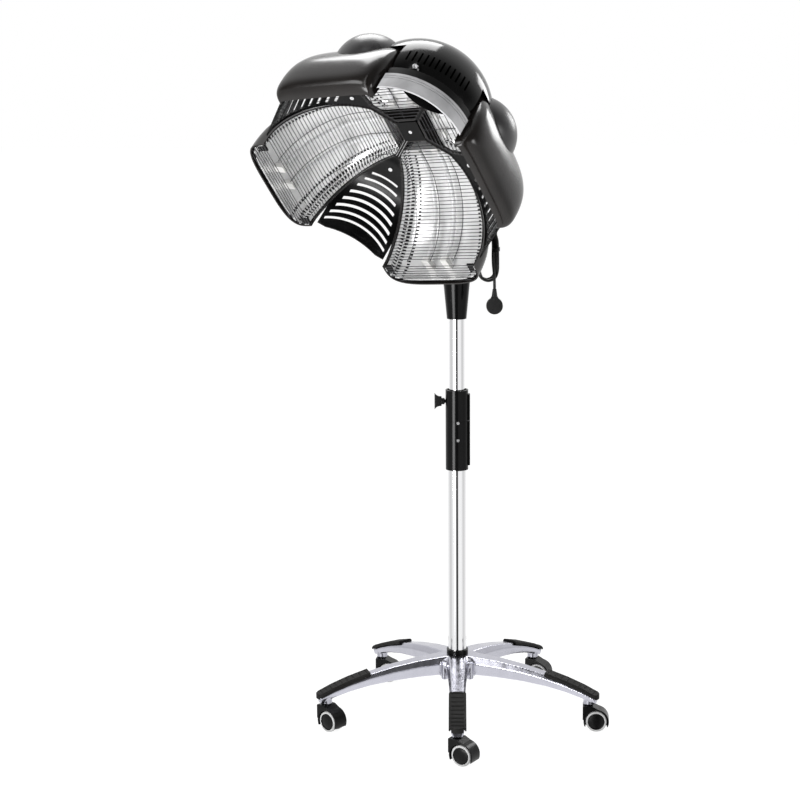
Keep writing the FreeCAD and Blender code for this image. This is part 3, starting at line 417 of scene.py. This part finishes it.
# guard wires: steel given a very dark colour, a painted reflection of dark surroundings; bare steel would
# render light here
wire_steel_painted_dark = metal("wire_steel_painted_dark", (0.12, 0.12, 0.125), 0.2, 0.05, EVEN, 0.05)
screw_steel = metal("screw_steel", (0.84, 0.84, 0.85), 0.2, 0.06, EVEN, 0.06)
mirror_sheet = metal("mirror_sheet", (0.97, 0.97, 0.97), 0.22, 0.04, (1.0, 1.0, 0.3), 0.03)
principled(mirror_sheet).inputs["Metallic"].default_value = 0.4
paint_louvre_shade(mirror_sheet)
coil_metal = metal("coil_metal", (0.85, 0.84, 0.82), 0.3, 0.06, EVEN, 0.05)
quartz_glass = quartz()

NODE_FINISH = {
    cast_aluminium: ("star_base",),
    rubber_black: ("leg_pads",),
    panel_black: ("pole_ring", "clamp_sleeve", "neck_collar", "side_panel_left", "side_panel_right",
                  "fan_grille"),
    nape_black: ("nape_panel",),
    cover_black: ("cover_upper_left", "cover_upper_right", "cover_lower_left", "cover_lower_right",
                  "control_box"),
    dome_black: ("dome",),
    ear_grey: ("ears",),
    satin_black: ("pole_bush", "clamp_knob", "fascia", "timer_knob", "power_switch", "fan_rotor",
                  "cord_gland", "hub_nut", "lamp_brackets", "crown_plate", "plug"),
    chrome: ("pole_lower", "pole_upper"),
    screw_steel: ("clamp_screws", "hood_screws", "tilt_pin", "temperature_sensor", "fan_motor"),
    painted_casting: ("neck_tube", "tilt_fork", "arm", "hood_hub"),
    wire_steel_painted_dark: ("guard_upper_left", "guard_upper_right", "guard_lower_left", "guard_lower_right"),
    mirror_sheet: ("reflectors",),
    quartz_glass: ("heating_tubes",),
    ceramic: ("tube_holders",),
    band_grey: ("visor_band",),
    cord_black: ("cord",),
    caster_black: tuple("caster_body_%d" % (k + 1) for k in range(5)),
    tread_grey: tuple("caster_wheels_%d" % (k + 1) for k in range(5)),
}
for finish, names in NODE_FINISH.items():
    for name in names:
        nodes[name].data.materials.clear()
        nodes[name].data.materials.append(finish)


# ---- mesh helpers ----------------------------------------------------------------------------
def add_object(name, data):
    piece = bpy.data.objects.new(name, data)
    bpy.context.scene.collection.objects.link(piece)
    return piece


def mesh_piece(name, vertices, faces, place, materials, indices=None, closed=False):
    data = bpy.data.meshes.new(name)
    data.from_pydata([place @ Vector(v) for v in vertices], [], faces)
    if closed:
        work = bmesh.new()
        work.from_mesh(data)
        bmesh.ops.recalc_face_normals(work, faces=work.faces)
        work.to_mesh(data)
        work.free()
    data.polygons.foreach_set("use_smooth", [True] * len(data.polygons))
    for material in materials:
        data.materials.append(material)
    if indices:
        data.polygons.foreach_set("material_index", indices)
    data.validate()
    return add_object(name, data)


def grid_faces(rows, columns, offset=0, wrap=False):
    faces = []
    for r in range(rows - 1):
        for c in range(columns if wrap else columns - 1):
            following = (c + 1) % columns
            a = offset + r * columns
            b = a + columns
            faces.append((a + c, b + c, b + following, a + following))
    return faces


def split_sharp(piece, angle):
    modifier = piece.modifiers.new("split", "EDGE_SPLIT")
    modifier.split_angle = math.radians(angle)


# ---- lamps -----------------------------------------------------------------------------------
def lamp_half_width(r):
    if r < LAMP_KNEE:
        share = (r - LAMP_START) / (LAMP_KNEE - LAMP_START)
        return LAMP_START_HW + share * (LAMP_KNEE_HW - LAMP_START_HW)
    share = min((r - LAMP_KNEE) / (LAMP_WIDE - LAMP_KNEE), 1.0)
    return LAMP_KNEE_HW + share * (LAMP_WIDE_HW - LAMP_KNEE_HW)


def arc_point(offset, degrees):
    a = math.radians(degrees)
    radius = LAMP_BEND_R + offset
    return Vector((LAMP_FLAT + radius * math.sin(a), 0, LAMP_BEND_R - radius * math.cos(a)))


def arc_normal(degrees):
    a = math.radians(degrees)
    return Vector((math.sin(a), 0, -math.cos(a)))


def trough_stations(start, deep, last_angle, brow, lip):
    """Spot, outward direction, share of the depth and narrowing of each section of a trough."""
    corner = COVER_CORNER_R
    flat = [(start, share * (1 - corner / deep)) for share in WALL_SHARES]
    for turn in CORNER_TURNS:
        a = math.radians(turn)
        flat.append((start + corner * (1 - math.cos(a)), 1 - corner * (1 - math.sin(a)) / deep))
    r = start + corner + FLAT_STEP
    while r < LAMP_FLAT - FLAT_END_GAP:
        flat.append((r, 1.0))
        r += FLAT_STEP
    stations = [(Vector((r, 0, 0)), Vector((0, 0, -1)), share, 0.0) for r, share in flat]
    for index in range(BEND_STEPS + 1):
        degrees = last_angle * index / BEND_STEPS
        stations.append((arc_point(0.0, degrees), arc_normal(degrees), 1.0, 0.0))
    mouth = Vector((LAMP_FLAT + LAMP_BEND_R, 0, LAMP_BEND_R))
    outward = Vector((1, 0, 0))
    if lip:
        stations.append((mouth + Vector((0, 0, lip)), outward, 1.0, 0.0))
    if brow:
        for index in range(1, BROW_STEPS + 1):
            level = math.sin(math.pi / 2 * index / BROW_STEPS)
            share = max(1 - (level * BROW_TIP) ** BROW_POWER, 0.0) ** (1 / BROW_POWER)
            spot = mouth + Vector((0, 0, BROW_RISE * level))
            stations.append((spot, outward, share, BROW_NARROW * level ** BROW_NARROW_POWER))
    return stations


def trough_rows(start, inset, near, depth, power, last_angle, brow=False, lip=0.0):
    """Sections of a lamp's trough from its inner end wall to its mouth."""
    deep = depth - near
    rows = []
    for spot, out, share, narrow in trough_stations(start, deep, last_angle, brow, lip):
        half = lamp_half_width(spot.x) - inset - narrow
        row = []
        for index in range(SECTION_STEPS + 1):
            a = math.pi * index / SECTION_STEPS
            across = half * math.copysign(abs(math.cos(a)) ** power, math.cos(a))
            level = near + deep * share * abs(math.sin(a)) ** power
            row.append(spot + out * level + Vector((0, across, 0)))
        rows.append(row)
    return rows


def trough_piece(name, angle, rows, thickness, material):
    vertices = [p for row in rows for p in row]
    columns = len(rows[0])
    piece = mesh_piece(name, vertices, grid_faces(len(rows), columns), lamp_matrix(angle), [material])
    middle = columns // 2
    lengths = [0.0]
    for first, second in zip(rows, rows[1:]):
        lengths.append(lengths[-1] + (second[middle] - first[middle]).length * MM)
    layout = piece.data.uv_layers.new(name="form")
    for loop in piece.data.loops:
        row, column = divmod(loop.vertex_index, columns)
        layout.data[loop.index].uv = (lengths[row], column / (columns - 1))
    shell = piece.modifiers.new("shell", "SOLIDIFY")
    shell.thickness = thickness * MM
    shell.offset = -1.0
    split_sharp(piece, LAMP_SPLIT_ANGLE)
    return piece


def is_upper(name):
    return name.startswith("upper")


def lamp_section(name):
    """Depth and squareness of a lamp's section."""
    return (UPPER_DEPTH, UPPER_POWER) if is_upper(name) else (LAMP_DEPTH, SECTION_POWER)


def make_covers():
    for name, angle in LAMPS.items():
        depth, power = lamp_section(name)
        lip = 0.0 if is_upper(name) else LOWER_LIP
        rows = trough_rows(LAMP_START, 0.0, COVER_NEAR, depth, power, MOUTH_ANGLE, is_upper(name), lip)
        cover = trough_piece("cover_%s_shell" % name, angle, rows, COVER_T, cover_black)
        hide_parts("cover_" + name)
        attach(cover, "hood")


def make_reflectors():
    made = []
    for name, angle in LAMPS.items():
        depth, power = lamp_section(name)
        last, lip = (REFLECTOR_END, 0.0) if is_upper(name) else (MOUTH_ANGLE, LOWER_LIP - REFLECTOR_SHORT)
        rows = trough_rows(REFLECTOR_START, REFLECTOR_INSET, REFLECTOR_NEAR, depth - REFLECTOR_BEHIND,
                           power, last, False, lip)
        made.append(trough_piece("reflector_" + name, angle, rows, REFLECTOR_T, mirror_sheet))
    for piece in made:
        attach(piece, "hood")
    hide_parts("reflectors")


def bent_path(start, offset, end_angle, step):
    """Points a step apart along a lamp's flat and bend, with the outward normal at each."""
    points = []
    r = start
    while r < LAMP_FLAT:
        points.append((Vector((r, 0, -offset)), Vector((0, 0, -1))))
        r += step
    turn = math.degrees(step / (LAMP_BEND_R + offset))
    degrees = 0.0
    while degrees <= end_angle:
        points.append((arc_point(offset, degrees), arc_normal(degrees)))
        degrees += turn
    return points


def tube_rows(path, side, radius, sides):
    rows = []
    for spot, out in path:
        row = []
        for index in range(sides):
            a = 2 * math.pi * index / sides
            centre = spot + Vector((0, side, 0))
            row.append(centre + out * radius * math.cos(a) + Vector((0, radius * math.sin(a), 0)))
        rows.append(row)
    return rows


def make_tubes():
    vertices, faces = [], []
    for angle in LAMPS.values():
        turn = Matrix.Rotation(math.radians(angle), 4, "Z")
        for side in (-TUBE_SPREAD, TUBE_SPREAD):
            rows = tube_rows(bent_path(TUBE_START, TUBE_DEPTH, TUBE_END, TUBE_STEP), side, TUBE_R, TUBE_SIDES)
            offset = len(vertices)
            vertices += [turn @ p for row in rows for p in row]
            faces += grid_faces(len(rows), TUBE_SIDES, offset, True)
            faces.append(tuple(reversed(range(offset, offset + TUBE_SIDES))))
            last = offset + TUBE_SIDES * (len(rows) - 1)
            faces.append(tuple(range(last, last + TUBE_SIDES)))
    glass = mesh_piece("heating_tubes_quartz", vertices, faces, HOOD @ SCALE, [quartz_glass], closed=True)
    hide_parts("heating_tubes")
    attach(glass, "hood")


def make_coils():
    """Heater spirals inside the quartz tubes."""
    curve = bpy.data.curves.new("heater_coils", "CURVE")
    curve.dimensions = "3D"
    curve.bevel_depth = COIL_WIRE_R * MM
    curve.bevel_resolution = 2
    path = bent_path(TUBE_START + COIL_START_GAP, TUBE_DEPTH, TUBE_END - COIL_END_ANGLE,
                     COIL_PITCH / COIL_TURN_POINTS)
    for angle in LAMPS.values():
        place = lamp_matrix(angle)
        for side in (-TUBE_SPREAD, TUBE_SPREAD):
            spline = curve.splines.new("POLY")
            spline.points.add(len(path) - 1)
            for index, (spot, out) in enumerate(path):
                a = 2 * math.pi * index / COIL_TURN_POINTS
                across = Vector((0, side + COIL_R * math.sin(a), 0))
                point = place @ (spot + out * COIL_R * math.cos(a) + across)
                spline.points[index].co = (*point, 1.0)
    curve.materials.append(coil_metal)
    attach(add_object("heater_coils", curve), "hood")


# ---- casters ---------------------------------------------------------------------------------
def lathe(profile, sides):
    """Vertices and faces of a profile of (radius, height) turned about the Y axis."""
    vertices = []
    for radius, height in profile:
        for index in range(sides):
            a = 2 * math.pi * index / sides
            vertices.append(Vector((radius * math.cos(a), height, radius * math.sin(a))))
    return vertices, grid_faces(len(profile), sides, 0, True)


def wheel_profile():
    """Half of a wheelset as (radius, distance from its middle): hub cap, tyre, inner face, axle."""
    inner = WHEEL_GAP / 2.0
    outer = inner + WHEEL_W
    return [(0.01, outer - 0.2), (6.0, outer - 0.25), (11.5, outer - 0.9), (16.5, outer - 2.0),
            (18.3, outer - 2.5), (18.6, outer - 1.6), (19.2, outer - 0.5), (20.4, outer),
            (22.4, outer - 0.5), (23.6, outer - 1.8), (WHEEL_R, outer - 3.6), (WHEEL_R, inner + 3.2),
            (23.5, inner + 1.4), (22.2, inner + 0.3), (20.4, inner), (9.0, inner + 0.2),
            (8.2, inner + 1.4), (3.0, inner + 1.6), (2.94, 0.0)]


def make_wheels():
    profile = wheel_profile()
    half, half_faces = lathe(profile, WHEEL_SIDES)
    vertices = half + [Vector((v.x, -v.y, v.z)) for v in half]
    count = len(half)
    faces = [tuple(reversed(face)) for face in half_faces]
    faces += [tuple(count + v for v in face) for face in half_faces]
    rows = [row for _ in range(2) for row in range(len(profile) - 1) for _ in range(WHEEL_SIDES)]
    indices = [1 if row in TYRE_ROWS else 0 for row in rows]
    for index, heading in enumerate(CASTER_HEADINGS):
        angle = math.radians(LEG_ANGLES[index])
        stem = Matrix.Translation((STEM_R_POS * math.cos(angle), STEM_R_POS * math.sin(angle), 0))
        hub = Matrix.Rotation(math.radians(heading), 4, "Z") @ Matrix.Translation((TRAIL, 0, WHEEL_R))
        piece = mesh_piece("caster_%d_wheels" % (index + 1), vertices, faces, SCALE @ stem @ hub,
                           [caster_black, tread_grey], indices, closed=True)
        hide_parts("caster_wheels_%d" % (index + 1))
        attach(piece, "wheels_%d" % (index + 1))


# ---- softened castings and mouldings -----------------------------------------------------------
def soften(node, name, body, voxel, rounds, material):
    """The CAD solid with its edges rounded as a casting or moulding has them."""
    data = nodes[node].data.copy()
    piece = add_object(name, data)
    weld = piece.modifiers.new("weld", "WELD")
    weld.merge_threshold = WELD_M
    remesh = piece.modifiers.new("remesh", "REMESH")
    remesh.mode = "VOXEL"
    remesh.voxel_size = voxel * MM
    remesh.use_smooth_shade = True
    smooth = piece.modifiers.new("smooth", "SMOOTH")
    smooth.iterations = rounds
    smooth.factor = SMOOTH_FACTOR
    data.materials.clear()
    data.materials.append(material)
    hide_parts(node)
    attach(piece, body)


def make_softened():
    materials = (cast_aluminium, rubber_black, satin_black, cord_black)
    for values, material in zip(SOFTENED, materials):
        soften(*values, material)
    for index in range(1, 6):
        soften("caster_body_%d" % index, "caster_%d_hood" % index, "caster_%d" % index, CASTER_VOXEL,
               CASTER_ROUNDS, caster_black)


# ---- cord ------------------------------------------------------------------------------------
def racetrack(along):
    """Place on the hank's loop at a distance from its top."""
    straight = 2.0 * (HANK_H - HANK_W)
    bend = math.pi * HANK_W
    along = along % (2.0 * (straight + bend))
    if along < bend / 2.0:
        a = along / HANK_W
        return HANK_W * math.sin(a), straight / 2.0 + HANK_W * math.cos(a)
    if along < bend / 2.0 + straight:
        return HANK_W, straight / 2.0 - (along - bend / 2.0)
    if along < 1.5 * bend + straight:
        a = (along - bend / 2.0 - straight) / HANK_W
        return HANK_W * math.cos(a), -straight / 2.0 - HANK_W * math.sin(a)
    if along < 1.5 * bend + 2.0 * straight:
        return -HANK_W, -straight / 2.0 + (along - 1.5 * bend - straight)
    a = (along - 1.5 * bend - 2.0 * straight) / HANK_W
    return -HANK_W * math.cos(a), straight / 2.0 + HANK_W * math.sin(a)


def hank_points():
    """The hank's turns, which drift sideways and stack up along +Y."""
    loop = 4.0 * (HANK_H - HANK_W) + 2.0 * math.pi * HANK_W
    points = []
    for index in range(HANK_TURNS * HANK_POINTS + 1):
        side, up = racetrack(index * loop / HANK_POINTS)
        drift = HANK_DRIFT * math.sin(index * HANK_DRIFT_TURN)
        points.append(Vector((HANK_X + side + drift, HANK_Y + index * HANK_STEP,
                              HANK_Z + up - HANK_DRIFT_DOWN * drift)))
    return points


def make_cord():
    exits = [HOOD @ SCALE @ Vector((GLAND_X, 0, -HUB_BACK - out))
             for out in (EXIT_INSIDE, GLAND_L + EXIT_OUTSIDE)]
    lead = [Vector(p) for p in ((-12, -99, 1410), (28, -84, 1386), (72, -80, 1318), (98, -84, 1226),
                                (102, HANK_Y - 4, 1172))]
    tail = [Vector(p) for p in ((HANK_X + 14, HANK_Y + 12, 1126), (HANK_X + 12, HANK_Y + 2, 1076),
                                (PLUG_X, HANK_Y - 10, 1040), (PLUG_X, HANK_Y - 10, PLUG_TOP_Z))]
    points = exits + [p * MM for p in lead + hank_points()[1:] + tail]
    curve = bpy.data.curves.new("mains_cord", "CURVE")
    curve.dimensions = "3D"
    curve.bevel_depth = CORD_R * MM
    curve.bevel_resolution = 6
    curve.resolution_u = 12
    curve.use_fill_caps = True
    spline = curve.splines.new("NURBS")
    spline.points.add(len(points) - 1)
    for target, point in zip(spline.points, points):
        target.co = (*point, 1.0)
    spline.order_u = 3
    spline.use_endpoint_u = True
    curve.materials.append(cord_black)
    cord = add_object("mains_cord", curve)
    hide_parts("cord")
    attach(cord, "hood")


def make_tie():
    """A strap round one side of the hank, so that the coil stays together."""
    depth = 0.5 * HANK_TURNS * HANK_POINTS * HANK_STEP
    rows = []
    for wider, height in ((0.0, -TIE_W), (TIE_T, -TIE_W), (TIE_T, TIE_W), (0.0, TIE_W), (0.0, -TIE_W)):
        row = []
        for index in range(TIE_SIDES):
            a = 2 * math.pi * index / TIE_SIDES
            across = (CORD_R + TIE_ROOM + wider) * math.cos(a)
            deep = (CORD_R + depth + TIE_SLACK + wider) * math.sin(a)
            row.append(Vector((HANK_X + HANK_W + across, HANK_Y + depth + deep, HANK_Z + TIE_UP + height)))
        rows.append(row)
    vertices = [p for row in rows for p in row]
    tie = mesh_piece("hank_tie", vertices, grid_faces(len(rows), TIE_SIDES, 0, True), SCALE,
                     [satin_black], closed=True)
    split_sharp(tie, TIE_SPLIT_ANGLE)
    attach(tie, "hood")


# ---- studio ----------------------------------------------------------------------------------
def make_floor():
    """Pale floor, lit a little more toward the camera so that it ends white."""
    half = FLOOR_HALF_M
    data = bpy.data.meshes.new("floor")
    corners = [(-half, -half, 0), (half, -half, 0), (half, half, 0), (-half, half, 0)]
    data.from_pydata(corners, [], [(0, 1, 2, 3)])
    material = new_material("pale_floor", (0.9, 0.9, 0.9), 0.9)
    glow = add_node(material, "ShaderNodeEmission")
    path = add_node(material, "ShaderNodeLightPath")
    glow.inputs["Strength"].default_value = FLOOR_GLOW
    share = math_node(material.node_tree, "MULTIPLY", path.outputs["Is Camera Ray"], FLOOR_SHARE)
    mix = add_node(material, "ShaderNodeMixShader")
    output = material.node_tree.nodes["Material Output"]
    join(material, share, mix.inputs["Fac"])
    join(material, principled(material).outputs["BSDF"], mix.inputs[1])
    join(material, glow.outputs["Emission"], mix.inputs[2])
    join(material, mix.outputs["Shader"], output.inputs["Surface"])
    data.materials.append(material)
    floor = add_object("floor", data)
    floor.visible_glossy = False


def make_world():
    """White behind the object. Its gloss sees a dark slot, a bright strip and a darker front."""
    world = bpy.data.worlds.new("studio")
    bpy.context.scene.world = world
    world.use_nodes = True
    tree = world.node_tree
    tree.nodes.clear()

    def calc(operation, first, second):
        return math_node(tree, operation, first, second)

    def blend(value, edge, start, end):
        node = tree.nodes.new("ShaderNodeMapRange")
        node.interpolation_type = "SMOOTHSTEP"
        for socket, content in zip(node.inputs, (value, *edge, start, end)):
            feed(tree, content, socket)
        return node.outputs["Result"]

    def light(strength):
        node = tree.nodes.new("ShaderNodeBackground")
        feed(tree, (1.0, 1.0, 1.0, 1.0), node.inputs["Color"])
        feed(tree, strength, node.inputs["Strength"])
        return node.outputs["Background"]

    def pick(share, first, second):
        node = tree.nodes.new("ShaderNodeMixShader")
        for target, value in zip(node.inputs, (share, first, second)):
            tree.links.new(value, target)
        return node.outputs["Shader"]

    path = tree.nodes.new("ShaderNodeLightPath")
    direction = tree.nodes.new("ShaderNodeSeparateXYZ")
    feed(tree, tree.nodes.new("ShaderNodeTexCoord").outputs["Generated"], direction.inputs["Vector"])
    x, y, z = (direction.outputs[axis] for axis in "XYZ")
    across = calc("ABSOLUTE", x, 0.0)
    ahead = calc("MAXIMUM", calc("MULTIPLY", y, -1.0), 0.001)
    slot = blend(calc("DIVIDE", across, ahead), SLOT_EDGE, SLOT_DARK, 1.0)
    off_strip = calc("ABSOLUTE", calc("SUBTRACT", calc("DIVIDE", x, ahead), STRIP_PLACE), 0.0)
    strip = blend(off_strip, (STRIP_HALF, 2.0 * STRIP_HALF), STRIP_STRENGTH, 0.0)
    strip_room = calc("MULTIPLY", calc("LESS_THAN", y, 0.0), blend(z, STRIP_FOOT, 0.0, 1.0))
    side_dim = blend(across, SIDE_EDGE, 1.0, SIDE_LEVEL)
    below = blend(z, BELOW_EDGE, BELOW_LEVEL, 1.0)
    front_high = calc("MULTIPLY", blend(z, FRONT_RISE, 0.0, 1.0), blend(y, FRONT_EDGE, 1.0, 0.0))
    high = calc("SUBTRACT", 1.0, calc("MULTIPLY", front_high, 1.0 - FRONT_DARK))
    gloss = calc("MULTIPLY", calc("MULTIPLY", calc("MULTIPLY", slot, below), high), side_dim)
    gloss = calc("ADD", gloss, calc("MULTIPLY", strip, strip_room))
    seen = calc("MAXIMUM", path.outputs["Is Camera Ray"], path.outputs["Is Transmission Ray"])
    scattered = pick(path.outputs["Is Glossy Ray"], light(FILL), light(gloss))
    output = tree.nodes.new("ShaderNodeOutputWorld")
    tree.links.new(pick(seen, scattered, light(1.0)), output.inputs["Surface"])


def make_lights():
    for name, spot, size, power in SOFTBOXES:
        light = bpy.data.lights.new(name, "AREA")
        light.shape = "SQUARE"
        light.size = size
        light.energy = power
        lamp = add_object(name, light)
        lamp.location = spot
        lamp.rotation_euler = (LAMP_AIM - Vector(spot)).to_track_quat("-Z", "Y").to_euler()


def make_camera():
    data = bpy.data.cameras.new("camera")
    data.sensor_width = SENSOR_WIDTH
    data.lens = FOCAL_PX / IMAGE_PX * data.sensor_width
    camera = add_object("camera", data)
    turn = Matrix.Rotation(math.radians(CAMERA_YAW), 4, "Z")
    turn = turn @ Matrix.Rotation(math.radians(CAMERA_PITCH), 4, "X")
    turn = turn @ Matrix.Rotation(math.radians(CAMERA_ROLL), 4, "Z")
    camera.matrix_world = Matrix.Translation(CAMERA_SPOT) @ turn
    bpy.context.scene.camera = camera


make_covers()
make_reflectors()
make_tubes()
make_coils()
make_wheels()
make_softened()
make_cord()
make_tie()
make_floor()
make_world()
make_lights()
make_camera()
bpy.context.scene.view_settings.view_transform = "Standard"
